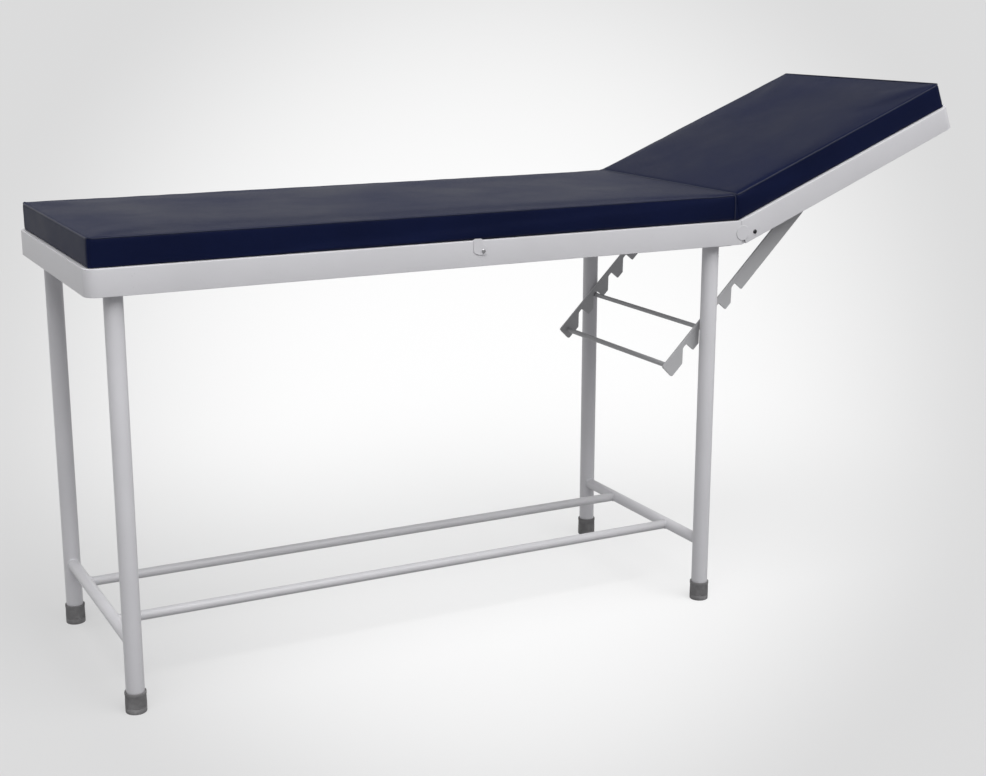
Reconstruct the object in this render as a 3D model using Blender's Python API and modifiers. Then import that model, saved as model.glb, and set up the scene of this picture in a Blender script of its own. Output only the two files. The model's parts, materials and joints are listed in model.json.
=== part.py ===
"""Two-section examination couch: a steel frame on four legs, two upholstered pads, and a backrest
held up by a pair of notched ratchet arms that hook over a fixed rod.

Frame: +X from the foot end to the head end, +Y to the far side, +Z up, origin on the floor under
the middle of the bounding box. Metres. The backrest is modelled raised, with its arms on the rod.
"""

from math import cos, pi, radians, sin, tan

import bmesh
import bpy
from mathutils import Matrix, Vector

# Driving dimensions of the couch
HALF_WIDTH = 0.258
FRAME_TOP = 0.772
RAIL_DEPTH = 0.046
RAIL_FLANGE = 0.050
RAIL_THICK = 0.003
CORNER_RADIUS = 0.022
FOLD_X = 1.254
BACKREST_LENGTH = 0.544
BACKREST_ANGLE = radians(22.0)

# Pads
PAD_THICK = 0.049
PAD_INSET = 0.005
PAD_CORNER_RADIUS = 0.010

# Legs and low stretchers
LEG_RADIUS = 0.016
LEG_WALL = 0.0016
LEG_FOOT_X = 0.050
LEG_Y = 0.225
FERRULE_RADIUS = 0.0187
FERRULE_HEIGHT = 0.038
FERRULE_FLOOR = 0.006
STRETCHER_Z = 0.1225
CROSS_RADIUS = 0.011
LONG_RADIUS = 0.009
LONG_Y = 0.104
STRETCHER_WALL = 0.0012

# Deck and crossbars
DECK_THICK = 0.0015
BAR_SIZE = 0.020
DECK_BAR_X = (0.34, 0.64, 0.94)
HINGE_BAR_X = 1.236
BACKREST_BAR_OFFSET = 0.045

# Hinge: lugs, pins and the bolts of the backrest lugs, as offsets from the hinge axis
LUG_THICK = 0.005
MAIN_LUG_LENGTH = 0.070
MAIN_LUG_RADIUS = 0.021
MAIN_LUG_DROP = 0.0017
BACKREST_LUG_LENGTH = 0.060
BACKREST_LUG_RADIUS = 0.017
HINGE_PIN_RADIUS = 0.005
HINGE_PIN_HEAD = 0.009
PIN_HEAD_RISE = 0.004
HINGE_WASHER_RADIUS = 0.010
WASHER_THICK = 0.0010
LUG_BOLT_OFFSET = (0.0267, -0.0103)
LUG_BOLT_RADIUS = 0.003
LUG_BOLT_HEAD = 0.0045
LUG_BOLT_TAIL = 0.004

# Ratchet arms: S runs up the arm from its lower end
ARM_PIVOT_OFFSET = (0.171, -0.035)
ARM_TILT = radians(23.4)
ARM_LENGTH = 0.4275
ARM_WIDTH = 0.031
ARM_THICK = 0.005
ARM_Y = 0.202
NOTCH_COUNT = 4
NOTCH_PITCH = 0.0525
FIRST_FACE = 0.0675
NOTCH_MOUTH = 0.0335
NOTCH_FLOOR = 0.011
NOTCH_DRAFT = 0.002
NOTCH_SPINE = 0.0095
ARM_END_ROUND = 0.004
NOTCH_ROUND = 0.003
TOOTH_ROUND = 0.0012
ARM_LUG_RADIUS = 0.013
ARM_BOLT_RADIUS = 0.004
ARM_BOLT_HEAD = 0.0075
ARM_BOLT_RISE = 0.0045
ARM_BOLT_RIM = 0.0015
ARM_BOLT_TAIL = 0.002
ARM_NUT_THICK = 0.0065
TIE_ROD_S = 0.013
TIE_ROD_RADIUS = 0.005
SUPPORT_ROD_RADIUS = 0.0045
SEATED_NOTCH = 2
SEAT_PLAY = 0.0033

# Pad clips and their bolts on the side rails
CLIP_X = 0.6995
CLIP_Z = 0.753
CLIP_WIDTH = 0.024
CLIP_DROP = 0.007
CLIP_RISE = 0.0035
CLIP_THICK = 0.0012
CLIP_BOLT_RADIUS = 0.0025
CLIP_BOLT_HEAD = 0.004
CLIP_BOLT_TAIL = 0.006

# Domed heads: how far they stand up, and how wide their flat crown is, as shares of their radius
DOME_RISE = 0.55
DOME_SHOULDER = 0.40
DOME_CROWN = 0.7

# Fits
GAP = 0.0003
HOLE_PLAY = 0.0005
HINGE_GAP = 0.0006
ROUND_STEPS = 24
SMALL_STEPS = 16
CUTTER_REACH = 0.02

# Worked out from the driving dimensions
HALF_FOLD = tan(BACKREST_ANGLE / 2)
HINGE_X = FOLD_X + RAIL_DEPTH / 2 * HALF_FOLD
HINGE_Z = FRAME_TOP - RAIL_DEPTH / 2
BACKREST_START = HINGE_X - FOLD_X
BACKREST_END = BACKREST_START + BACKREST_LENGTH
TOP = RAIL_DEPTH / 2
RAISED_REACH = BACKREST_END * cos(BACKREST_ANGLE) + TOP * sin(BACKREST_ANGLE)
MIDDLE_X = (HINGE_X + RAISED_REACH) / 2
WEB_INNER = HALF_WIDTH - RAIL_THICK
FLANGE_INNER = HALF_WIDTH - RAIL_FLANGE
MAIN_LUG_Y = WEB_INNER - GAP - LUG_THICK / 2
WASHER_Y = MAIN_LUG_Y - LUG_THICK / 2 - GAP - WASHER_THICK / 2
BACKREST_LUG_Y = WASHER_Y - WASHER_THICK / 2 - GAP - LUG_THICK / 2
BAR_TOP = FRAME_TOP - RAIL_THICK - GAP
BAR_END = BACKREST_LUG_Y - LUG_THICK / 2 - GAP
ARM_WASHER_Y = ARM_Y - ARM_THICK / 2 - GAP - WASHER_THICK / 2
ARM_LUG_Y = ARM_WASHER_Y - WASHER_THICK / 2 - GAP - LUG_THICK / 2
SIDES = (("near", -1), ("far", 1))


def arm_point(s, depth):
    """Place on a ratchet arm: s up from its lower end, depth down from its upper edge."""
    return s - ARM_LENGTH, ARM_WIDTH / 2 - depth


def turned(point, angle):
    """A point (x, z) turned by an angle from +X towards +Z."""
    x, z = point
    return x * cos(angle) - z * sin(angle), x * sin(angle) + z * cos(angle)


def seated_rod():
    """The support rod's centre (x, z) from the hinge axis: on the notch's floor, with play to its face."""
    face = FIRST_FACE + (SEATED_NOTCH - 1) * NOTCH_PITCH
    s = face - SEAT_PLAY - SUPPORT_ROD_RADIUS
    x, z = turned(arm_point(s, NOTCH_SPINE + GAP + SUPPORT_ROD_RADIUS), ARM_TILT)
    return turned((x + ARM_PIVOT_OFFSET[0], z + ARM_PIVOT_OFFSET[1]), BACKREST_ANGLE)


ROD_OFFSET = seated_rod()
LEG_HEAD_X = HINGE_X + ROD_OFFSET[0]
ROD_Z = HINGE_Z + ROD_OFFSET[1]


def clear_scene():
    for old in list(bpy.data.objects):
        bpy.data.objects.remove(old, do_unlink=True)


def collection(name, hidden=False):
    made = bpy.data.collections.new(name)
    bpy.context.scene.collection.children.link(made)
    made.hide_render = hidden
    return made


def material(name, colour, roughness, metallic):
    made = bpy.data.materials.new(name)
    made.use_nodes = True
    shader = made.node_tree.nodes["Principled BSDF"]
    shader.inputs["Base Color"].default_value = (*colour, 1.0)
    shader.inputs["Roughness"].default_value = roughness
    shader.inputs["Metallic"].default_value = metallic
    return made


clear_scene()
PARTS = collection("examination_couch")
CUTTERS = collection("cutters", hidden=True)
WHITE_PAINT = material("white_paint", (0.62, 0.62, 0.65), 0.35, 0.0)
GREY_PAINT = material("arm_paint", (0.56, 0.56, 0.58), 0.4, 0.0)
ZINC = material("zinc_steel", (0.55, 0.55, 0.56), 0.35, 1.0)
BLACK_STEEL = material("black_steel", (0.05, 0.05, 0.055), 0.4, 1.0)
GREY_RUBBER = material("grey_rubber", (0.11, 0.11, 0.115), 0.65, 0.0)
DECK_STEEL = material("deck_sheet", (0.58, 0.58, 0.60), 0.45, 0.0)
NAVY_VINYL = material("navy_vinyl", (0.012, 0.016, 0.05), 0.4, 0.0)

# Rotations that take a flat outline (u, v) and its normal into place
STAND = {
    "X": Matrix(((0, 0, 1, 0), (1, 0, 0, 0), (0, 1, 0, 0), (0, 0, 0, 1))),
    "Y": Matrix(((1, 0, 0, 0), (0, 0, -1, 0), (0, 1, 0, 0), (0, 0, 0, 1))),
    "Z": Matrix.Identity(4),
}


def arc(centre, radius, start, end, steps):
    """Points along an arc, from the start angle to the end angle, in degrees."""
    points = []
    for step in range(steps + 1):
        angle = radians(start + (end - start) * step / steps)
        points.append((centre[0] + radius * cos(angle), centre[1] + radius * sin(angle)))
    return points


def circle(radius, steps=ROUND_STEPS, centre=(0.0, 0.0)):
    return arc(centre, radius, 0, 360, steps)[:-1]


def hexagon(across_corners):
    return circle(across_corners, 6)


def place(obj, where, paint, parent):
    obj.data.materials.clear()
    obj.data.materials.append(paint)
    obj.parent = parent
    offset = (-MIDDLE_X, 0, 0) if parent is None else (0, 0, 0)
    obj.location = [a + b for a, b in zip(where, offset)]
    return obj


def welded_mesh(curve_obj, stand):
    """The closed mesh of a filled curve, stood along its axis; the curve is removed."""
    graph = bpy.context.evaluated_depsgraph_get()
    mesh = bpy.data.meshes.new_from_object(curve_obj.evaluated_get(graph))
    work = bmesh.new()
    work.from_mesh(mesh)
    bmesh.ops.remove_doubles(work, verts=work.verts, dist=0.00001)
    bmesh.ops.transform(work, matrix=stand, verts=work.verts)
    bmesh.ops.recalc_face_normals(work, faces=work.faces)
    work.to_mesh(mesh)
    work.free()
    bpy.data.objects.remove(curve_obj, do_unlink=True)
    return mesh


def extruded(name, loops, thickness, axis, where, paint, parent=None, home=None):
    """A flat outline with its holes, given as loops of points, made thickness deep along an axis.

    The outline's (u, v) are (y, z) for axis X, (x, z) for axis Y and (x, y) for axis Z, all
    measured from where, which lies in the middle of the thickness.
    """
    outline = bpy.data.curves.new(name, "CURVE")
    outline.dimensions = "2D"
    outline.fill_mode = "BOTH"
    outline.extrude = thickness / 2
    for loop in loops:
        spline = outline.splines.new("POLY")
        spline.points.add(len(loop) - 1)
        for point, (u, v) in zip(spline.points, loop):
            point.co = (u, v, 0.0, 1.0)
        spline.use_cyclic_u = True
    curve_obj = bpy.data.objects.new(name + "_outline", outline)
    bpy.context.scene.collection.objects.link(curve_obj)
    bpy.context.view_layer.update()
    mesh = welded_mesh(curve_obj, STAND[axis])
    mesh.name = name
    mesh.shade_smooth()
    mesh.set_sharp_from_angle(angle=radians(35))
    obj = bpy.data.objects.new(name, mesh)
    (home or PARTS).objects.link(obj)
    return place(obj, where, paint, parent)


def turned_piece(name, profile, axis_sign, where, paint, parent=None):
    """A pin or bolt: a profile of (radius, height), outer side top to bottom, along the Y axis."""
    mesh = bpy.data.meshes.new(name)
    points = [(radius, 0.0, height) for radius, height in profile]
    mesh.from_pydata(points, [(i, i + 1) for i in range(len(points) - 1)], [])
    obj = bpy.data.objects.new(name, mesh)
    PARTS.objects.link(obj)
    screw = obj.modifiers.new("turn", "SCREW")
    screw.steps = SMALL_STEPS
    screw.render_steps = SMALL_STEPS
    screw.use_merge_vertices = True
    screw.merge_threshold = 0.00001
    screw.use_smooth_shade = True
    place(obj, where, paint, parent)
    obj.rotation_euler = (-axis_sign * pi / 2, 0, 0)
    return obj


def domed_bolt(head, shank, face, tail):
    """Profile of a bolt whose domed head sits on a face and whose plain shank runs in to the tail."""
    return [
        (0.0, face + head * DOME_RISE),
        (head * DOME_CROWN, face + head * DOME_SHOULDER),
        (head, face),
        (shank, face),
        (shank, tail),
        (0.0, tail),
    ]


def cut(obj, cutter):
    """Take the cutter's shape out of a piece, and hide the cutter."""
    cutter.hide_render = True
    cutter.display_type = "WIRE"
    boolean = obj.modifiers.new("cut_" + cutter.name, "BOOLEAN")
    boolean.operation = "DIFFERENCE"
    boolean.solver = "EXACT"
    boolean.object = cutter


def block(name, low, high, paint, parent=None, bevel=0.0):
    """A box between two corners, with its long edges rounded where a bevel is given."""
    bpy.ops.mesh.primitive_cube_add(size=1)
    obj = bpy.context.active_object
    obj.name = name
    obj.data.name = name
    size = [b - a for a, b in zip(low, high)]
    obj.data.transform(Matrix.Diagonal((*size, 1.0)))
    for owner in list(obj.users_collection):
        owner.objects.unlink(obj)
    PARTS.objects.link(obj)
    place(obj, [(a + b) / 2 for a, b in zip(low, high)], paint, parent)
    if bevel:
        edge = obj.modifiers.new("edges", "BEVEL")
        edge.width = bevel
        edge.segments = 2
        edge.limit_method = "ANGLE"
    return obj


def end_outline(start, end, radius, inset):
    """Plan of a frame end: a bar across at x = start, its corners rounded, with arms back to x = end."""
    turn = 1 if end > start else -1
    half = HALF_WIDTH - inset
    x0 = start + turn * inset
    near = arc((0, 0), radius, 270, 180, 8)
    corner = [(x0 + turn * (radius + u), -half + radius + v) for u, v in near]
    far = [(x, -y) for x, y in reversed(corner)]
    return [(end, -half)] + corner + far + [(end, half)]


def bent_end(name, start, end, paint, parent=None):
    """An angle-section frame end with its web bent round both corners, meeting the side rails."""
    turn = 1 if end > start else -1
    base = (0, 0, FRAME_TOP - RAIL_DEPTH / 2) if parent is None else (0, 0, 0)
    outline = end_outline(start, end, CORNER_RADIUS, 0.0)
    obj = extruded(name, [outline], RAIL_DEPTH, "Z", base, paint, parent)
    beyond = end + turn * CUTTER_REACH
    hollow = end_outline(start, beyond, CORNER_RADIUS - RAIL_THICK, RAIL_THICK)
    depth = RAIL_DEPTH - RAIL_THICK + CUTTER_REACH
    drop = (0, 0, base[2] + RAIL_DEPTH / 2 - RAIL_THICK - depth / 2)
    cut(obj, extruded(name + "_hollow", [hollow], depth, "Z", drop, paint, parent, CUTTERS))
    return obj


def rail_section(side):
    """Angle section of a side rail, as (y, z) from the middle of its depth."""
    outer = side * HALF_WIDTH
    web = side * WEB_INNER
    inner = side * FLANGE_INNER
    under = TOP - RAIL_THICK
    return [(outer, TOP), (inner, TOP), (inner, under), (web, under), (web, -TOP), (outer, -TOP)]


def main_frame():
    bent_end("foot_end_rail", 0.0, RAIL_FLANGE, WHITE_PAINT)
    start = RAIL_FLANGE + GAP
    stop = HINGE_X - HINGE_GAP
    for word, side in SIDES:
        where = ((start + stop) / 2, 0, HINGE_Z)
        rail = extruded(f"main_rail_{word}", [rail_section(side)], stop - start, "X", where, WHITE_PAINT)
        cut(rail, hinge_wedge(f"main_wedge_{word}", -1, None))
    for number, x in enumerate(DECK_BAR_X, 1):
        crossbar(f"deck_crossbar_{number}", x, BAR_TOP, WEB_INNER - GAP, WHITE_PAINT)
    crossbar("hinge_crossbar", HINGE_BAR_X, BAR_TOP, BAR_END, WHITE_PAINT)
    low = (RAIL_FLANGE + GAP, -FLANGE_INNER + GAP, FRAME_TOP - RAIL_THICK)
    high = (FOLD_X - GAP, FLANGE_INNER - GAP, low[2] + DECK_THICK)
    block("main_deck", low, high, DECK_STEEL)


def hinge_wedge(name, turn, parent):
    """Cutter over a rail's end: the upper half of the end leans back, so the raised backrest clears it."""
    gap = turn * HINGE_GAP
    lean = turn * (TOP + CUTTER_REACH) * HALF_FOLD
    low = -TOP - CUTTER_REACH
    high = TOP + CUTTER_REACH
    reach = -turn * CUTTER_REACH
    outline = [(gap, low), (gap, 0.0), (gap + lean, high), (reach, high), (reach, low)]
    where = (0, 0, 0) if parent else (HINGE_X, 0, HINGE_Z)
    width = 2 * (HALF_WIDTH + CUTTER_REACH)
    return extruded(name, [outline], width, "Y", where, WHITE_PAINT, parent, CUTTERS)


def crossbar(name, x, top, reach, paint, parent=None):
    """A square tube across the frame, open at its ends."""
    half = BAR_SIZE / 2
    inner = half - RAIL_THICK / 2
    square = [(-half, -half), (half, -half), (half, half), (-half, half)]
    bore = [(-inner, -inner), (inner, -inner), (inner, inner), (-inner, inner)]
    where = (x, 0, top - half)
    return extruded(name, [square, bore], 2 * reach, "Y", where, paint, parent)


def legs():
    top = FRAME_TOP - RAIL_THICK - GAP
    bottom = FERRULE_FLOOR + GAP
    for end, x in (("foot", LEG_FOOT_X), ("head", LEG_HEAD_X)):
        for word, side in SIDES:
            loops = [circle(LEG_RADIUS), circle(LEG_RADIUS - LEG_WALL)]
            where = (x, side * LEG_Y, (top + bottom) / 2)
            extruded(f"leg_{end}_{word}", loops, top - bottom, "Z", where, WHITE_PAINT)
            ferrule(f"ferrule_{end}_{word}", x, side * LEG_Y)


def ferrule(name, x, y):
    where = (x, y, FERRULE_HEIGHT / 2)
    cup = extruded(name, [circle(FERRULE_RADIUS)], FERRULE_HEIGHT, "Z", where, GREY_RUBBER)
    socket = circle(LEG_RADIUS + GAP + HOLE_PLAY / 2)
    raised = (x, y, FERRULE_FLOOR + FERRULE_HEIGHT / 2)
    cut(cup, extruded(name + "_socket", [socket], FERRULE_HEIGHT, "Z", raised, GREY_RUBBER, None, CUTTERS))


def coped(name, radius, wall, axis, where, length, ends):
    """A round tube with each end hollowed to sit against the round tube that it is welded to."""
    loops = [circle(radius), circle(radius - wall)]
    tube = extruded(name, loops, length, axis, where, WHITE_PAINT)
    for number, (other_axis, centre, other_radius) in enumerate(ends, 1):
        outline = [circle(other_radius + GAP, 32)]
        depth = 6 * radius
        cutter = f"{name}_cope_{number}"
        cut(tube, extruded(cutter, outline, depth, other_axis, centre, WHITE_PAINT, None, CUTTERS))
    return tube


def stretchers():
    for end, x in (("foot", LEG_FOOT_X), ("head", LEG_HEAD_X)):
        ends = [("Z", (x, side * LEG_Y, STRETCHER_Z), LEG_RADIUS) for _, side in SIDES]
        where = (x, 0, STRETCHER_Z)
        coped(f"{end}_cross_tube", CROSS_RADIUS, STRETCHER_WALL, "Y", where, 2 * LEG_Y, ends)
    length = LEG_HEAD_X - LEG_FOOT_X
    for word, side in SIDES:
        y = side * LONG_Y
        ends = [("Y", (x, y, STRETCHER_Z), CROSS_RADIUS) for x in (LEG_FOOT_X, LEG_HEAD_X)]
        where = ((LEG_FOOT_X + LEG_HEAD_X) / 2, y, STRETCHER_Z)
        coped(f"long_bar_{word}", LONG_RADIUS, STRETCHER_WALL, "X", where, length, ends)
    reach = LEG_Y - LEG_RADIUS - GAP
    where = (LEG_HEAD_X, 0, ROD_Z)
    loops = [circle(SUPPORT_ROD_RADIUS, SMALL_STEPS)]
    extruded("support_rod", loops, 2 * reach, "Y", where, WHITE_PAINT)


def lug_outline(length, radius, drop, hole, turn):
    """A strap with a round end, which lies drop below the hinge axis, and with the pin's hole."""
    round_end = arc((0, -drop), radius, 90, 270, 12)
    points = round_end + [(length, -radius - drop), (length, radius - drop)]
    return [[(turn * u, v) for u, v in points], circle(hole, SMALL_STEPS)]


def hinge():
    hole = HINGE_PIN_RADIUS + HOLE_PLAY
    outer = MAIN_LUG_Y + LUG_THICK / 2
    inner = BACKREST_LUG_Y - LUG_THICK / 2
    for word, side in SIDES:
        at = (HINGE_X, side * MAIN_LUG_Y, HINGE_Z)
        loops = lug_outline(MAIN_LUG_LENGTH, MAIN_LUG_RADIUS, MAIN_LUG_DROP, hole, -1)
        extruded(f"hinge_lug_{word}", loops, LUG_THICK, "Y", at, WHITE_PAINT)
        ring = [circle(HINGE_WASHER_RADIUS, SMALL_STEPS), circle(hole, SMALL_STEPS)]
        at = (HINGE_X, side * WASHER_Y, HINGE_Z)
        extruded(f"hinge_washer_{word}", ring, WASHER_THICK, "Y", at, ZINC)
        head = inner - GAP
        profile = [
            (0.0, outer),
            (HINGE_PIN_RADIUS, outer),
            (HINGE_PIN_RADIUS, head),
            (HINGE_PIN_HEAD, head),
            (HINGE_PIN_HEAD, head - PIN_HEAD_RISE * DOME_CROWN),
            (0.0, head - PIN_HEAD_RISE),
        ]
        turned_piece(f"hinge_pin_{word}", profile, side, (HINGE_X, 0, HINGE_Z), ZINC)


def pad_clips():
    """A small strap up each side rail that holds the main pad, with its screw."""
    for word, side in SIDES:
        y = side * (HALF_WIDTH + GAP)
        depth = side * CLIP_THICK
        low = (CLIP_X - CLIP_WIDTH / 2, min(y, y + depth), CLIP_Z - CLIP_DROP)
        high = (CLIP_X + CLIP_WIDTH / 2, max(y, y + depth), FRAME_TOP + CLIP_RISE)
        clip = block(f"pad_clip_{word}", low, high, WHITE_PAINT)
        hole = circle(CLIP_BOLT_RADIUS + HOLE_PLAY, SMALL_STEPS)
        where = (CLIP_X, side * HALF_WIDTH, CLIP_Z)
        drill = extruded(f"clip_drill_{word}", [hole], CUTTER_REACH, "Y", where, ZINC, None, CUTTERS)
        cut(clip, drill)
        cut(bpy.data.objects[f"main_rail_{word}"], drill)
        face = HALF_WIDTH + GAP + CLIP_THICK + GAP
        profile = domed_bolt(CLIP_BOLT_HEAD, CLIP_BOLT_RADIUS, face, WEB_INNER - CLIP_BOLT_TAIL)
        turned_piece(f"clip_screw_{word}", profile, side, (CLIP_X, 0, CLIP_Z), BLACK_STEEL)


def pad(name, start, lean_at, base, parent=None):
    """An upholstered pad, its plan corners rounded at its free end, mitred where the pads meet."""
    half = HALF_WIDTH - PAD_INSET
    turn = 1 if lean_at > start else -1
    end = lean_at + turn * PAD_THICK * HALF_FOLD
    corner = arc((0, 0), PAD_CORNER_RADIUS, 270, 180, 6)
    near = [(start + turn * (PAD_CORNER_RADIUS + u), -half + PAD_CORNER_RADIUS + v) for u, v in corner]
    outline = [(end, -half)] + near + [(x, -y) for x, y in reversed(near)] + [(end, half)]
    middle = base + GAP + (PAD_THICK - GAP) / 2
    obj = extruded(name, [outline], PAD_THICK - GAP, "Z", (0, 0, middle), NAVY_VINYL, parent)
    gap = -turn * HINGE_GAP
    low = -CUTTER_REACH
    high = PAD_THICK + CUTTER_REACH
    beyond = turn * (high * HALF_FOLD + CUTTER_REACH)
    wedge = [
        (gap - turn * low * HALF_FOLD, low),
        (gap - turn * high * HALF_FOLD, high),
        (beyond, high),
        (beyond, low),
    ]
    where = (lean_at, 0, base)
    width = 2 * (HALF_WIDTH + CUTTER_REACH)
    cut(obj, extruded(name + "_mitre", [wedge], width, "Y", where, NAVY_VINYL, parent, CUTTERS))
    return obj


def axis_empty(name, where, angle, parent=None):
    """An empty on a joint's axis; its +X leans up by the angle."""
    empty = bpy.data.objects.new(name, None)
    PARTS.objects.link(empty)
    empty.parent = parent
    offset = -MIDDLE_X if parent is None else 0.0
    empty.location = (where[0] + offset, where[1], where[2])
    empty.rotation_euler = (0, -angle, 0)
    return empty


def backrest(axis):
    """The backrest frame, measured from the hinge axis with the backrest lying flat."""
    split = BACKREST_END - RAIL_FLANGE
    bent_end("head_end_rail", BACKREST_END, split, WHITE_PAINT, axis)
    start = HINGE_GAP
    stop = split - GAP
    for word, side in SIDES:
        where = ((start + stop) / 2, 0, 0)
        name = f"backrest_rail_{word}"
        rail = extruded(name, [rail_section(side)], stop - start, "X", where, WHITE_PAINT, axis)
        cut(rail, hinge_wedge(f"backrest_wedge_{word}", 1, axis))
        backrest_lug(word, side, rail, axis)
        arm_lug(word, side, axis)
    top = TOP - RAIL_THICK - GAP
    crossbar("backrest_hinge_crossbar", BACKREST_BAR_OFFSET, top, BAR_END, WHITE_PAINT, axis)
    crossbar("arm_crossbar", ARM_PIVOT_OFFSET[0], top, WEB_INNER - GAP, WHITE_PAINT, axis)
    low = (BACKREST_START + GAP, -FLANGE_INNER + GAP, TOP - RAIL_THICK)
    high = (BACKREST_END - RAIL_FLANGE - GAP, FLANGE_INNER - GAP, low[2] + DECK_THICK)
    block("backrest_deck", low, high, DECK_STEEL, axis)
    pad("backrest_pad", BACKREST_END - PAD_INSET, BACKREST_START, TOP, axis)


def backrest_lug(word, side, rail, axis):
    """The backrest's half of the hinge, bolted to the rail through a spacer."""
    pin_hole = HINGE_PIN_RADIUS + HOLE_PLAY
    loops = lug_outline(BACKREST_LUG_LENGTH, BACKREST_LUG_RADIUS, 0.0, pin_hole, 1)
    x, z = LUG_BOLT_OFFSET
    bore = LUG_BOLT_RADIUS + HOLE_PLAY
    loops.append(circle(bore, SMALL_STEPS, (x, z)))
    where = (0, side * BACKREST_LUG_Y, 0)
    extruded(f"backrest_lug_{word}", loops, LUG_THICK, "Y", where, WHITE_PAINT, axis)
    hole = [circle(bore, SMALL_STEPS)]
    where = (x, side * HALF_WIDTH, z)
    drill = extruded(f"lug_drill_{word}", hole, CUTTER_REACH, "Y", where, ZINC, axis, CUTTERS)
    cut(rail, drill)
    outer = WEB_INNER - GAP
    inner = BACKREST_LUG_Y + LUG_THICK / 2 + GAP
    ring = [circle(LUG_BOLT_RADIUS * 2, SMALL_STEPS), circle(bore, SMALL_STEPS)]
    where = (x, side * (outer + inner) / 2, z)
    extruded(f"lug_spacer_{word}", ring, outer - inner, "Y", where, ZINC, axis)
    face = HALF_WIDTH + GAP
    tail = BACKREST_LUG_Y - LUG_THICK / 2 - LUG_BOLT_TAIL
    profile = domed_bolt(LUG_BOLT_HEAD, LUG_BOLT_RADIUS, face, tail)
    turned_piece(f"lug_bolt_{word}", profile, side, (x, 0, z), BLACK_STEEL, axis)


def arm_lug(word, side, axis):
    """The lug, washer, bolt and nut that carry a ratchet arm under the backrest."""
    x, z = ARM_PIVOT_OFFSET
    bore = ARM_BOLT_RADIUS + HOLE_PLAY
    rise = TOP - RAIL_THICK - GAP - BAR_SIZE - GAP - z
    radius = ARM_LUG_RADIUS
    outline = arc((0, 0), radius, 180, 360, 12) + [(radius, rise), (-radius, rise)]
    loops = [outline, circle(bore, SMALL_STEPS)]
    where = (x, side * ARM_LUG_Y, z)
    extruded(f"arm_lug_{word}", loops, LUG_THICK, "Y", where, WHITE_PAINT, axis)
    ring = [circle(ARM_BOLT_HEAD, SMALL_STEPS), circle(bore, SMALL_STEPS)]
    where = (x, side * ARM_WASHER_Y, z)
    extruded(f"arm_washer_{word}", ring, WASHER_THICK, "Y", where, ZINC, axis)
    nut_outer = ARM_LUG_Y - LUG_THICK / 2 - GAP
    nut = [hexagon(ARM_BOLT_HEAD), circle(bore, SMALL_STEPS)]
    where = (x, side * (nut_outer - ARM_NUT_THICK / 2), z)
    extruded(f"arm_nut_{word}", nut, ARM_NUT_THICK, "Y", where, ZINC, axis)
    face = ARM_Y + ARM_THICK / 2 + GAP
    tail = nut_outer - ARM_NUT_THICK - ARM_BOLT_TAIL
    profile = [
        (0.0, face + ARM_BOLT_RISE),
        (ARM_BOLT_HEAD * DOME_CROWN, face + ARM_BOLT_RISE - ARM_BOLT_RIM / 2),
        (ARM_BOLT_HEAD, face + ARM_BOLT_RIM),
        (ARM_BOLT_HEAD, face),
        (ARM_BOLT_RADIUS, face),
        (ARM_BOLT_RADIUS, tail),
        (0.0, tail),
    ]
    turned_piece(f"arm_bolt_{word}", profile, side, (x, 0, z), ZINC, axis)


def eased(corners, steps=4):
    """The line through (u, v, reach) corners, each bent over its reach along both of its sides."""
    points = [corners[0][:2]]
    for before, (u, v, reach), after in zip(corners, corners[1:], corners[2:]):
        corner = Vector((u, v))
        start = corner + (Vector(before[:2]) - corner).normalized() * reach
        stop = corner + (Vector(after[:2]) - corner).normalized() * reach
        for step in range(steps + 1):
            t = step / steps
            points.append(tuple(start.lerp(corner, t).lerp(corner.lerp(stop, t), t)))
    return points + [corners[-1][:2]]


def arm_outline():
    """Side view of a ratchet arm from its pivot: notches along the lower edge, round at the pivot."""
    half = ARM_WIDTH / 2
    corners = [(0.0, half, 0.0), (*arm_point(0.0, 0.0), ARM_END_ROUND)]
    corners.append((*arm_point(0.0, ARM_WIDTH), ARM_END_ROUND))
    for number in range(NOTCH_COUNT):
        face = FIRST_FACE + number * NOTCH_PITCH
        corners.append((*arm_point(face - NOTCH_MOUTH, ARM_WIDTH), TOOTH_ROUND))
        corners.append((*arm_point(face - NOTCH_FLOOR, NOTCH_SPINE), NOTCH_ROUND))
        corners.append((*arm_point(face, NOTCH_SPINE), NOTCH_ROUND))
        corners.append((*arm_point(face + NOTCH_DRAFT, ARM_WIDTH), TOOTH_ROUND))
    corners.append((0.0, -half, 0.0))
    return eased(corners) + arc((0, 0), half, -90, 90, 12)[1:-1]


def ratchet(axis):
    bore = ARM_BOLT_RADIUS + HOLE_PLAY
    for word, side in SIDES:
        loops = [arm_outline(), circle(bore, SMALL_STEPS)]
        where = (0, side * ARM_Y, 0)
        extruded(f"ratchet_arm_{word}", loops, ARM_THICK, "Y", where, GREY_PAINT, axis)
    x, z = arm_point(TIE_ROD_S, ARM_WIDTH / 2)
    reach = ARM_Y - ARM_THICK / 2 - GAP
    loops = [circle(TIE_ROD_RADIUS, SMALL_STEPS)]
    extruded("tie_rod", loops, 2 * reach, "Y", (x, 0, z), GREY_PAINT, axis)


main_frame()
legs()
stretchers()
hinge()
pad_clips()
pad("main_pad", PAD_INSET, FOLD_X, FRAME_TOP)
HINGE_AXIS = axis_empty("backrest_hinge_axis", (HINGE_X, 0, HINGE_Z), BACKREST_ANGLE)
backrest(HINGE_AXIS)
pivot = (ARM_PIVOT_OFFSET[0], 0, ARM_PIVOT_OFFSET[1])
ratchet(axis_empty("ratchet_pivot_axis", pivot, ARM_TILT, HINGE_AXIS))
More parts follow.
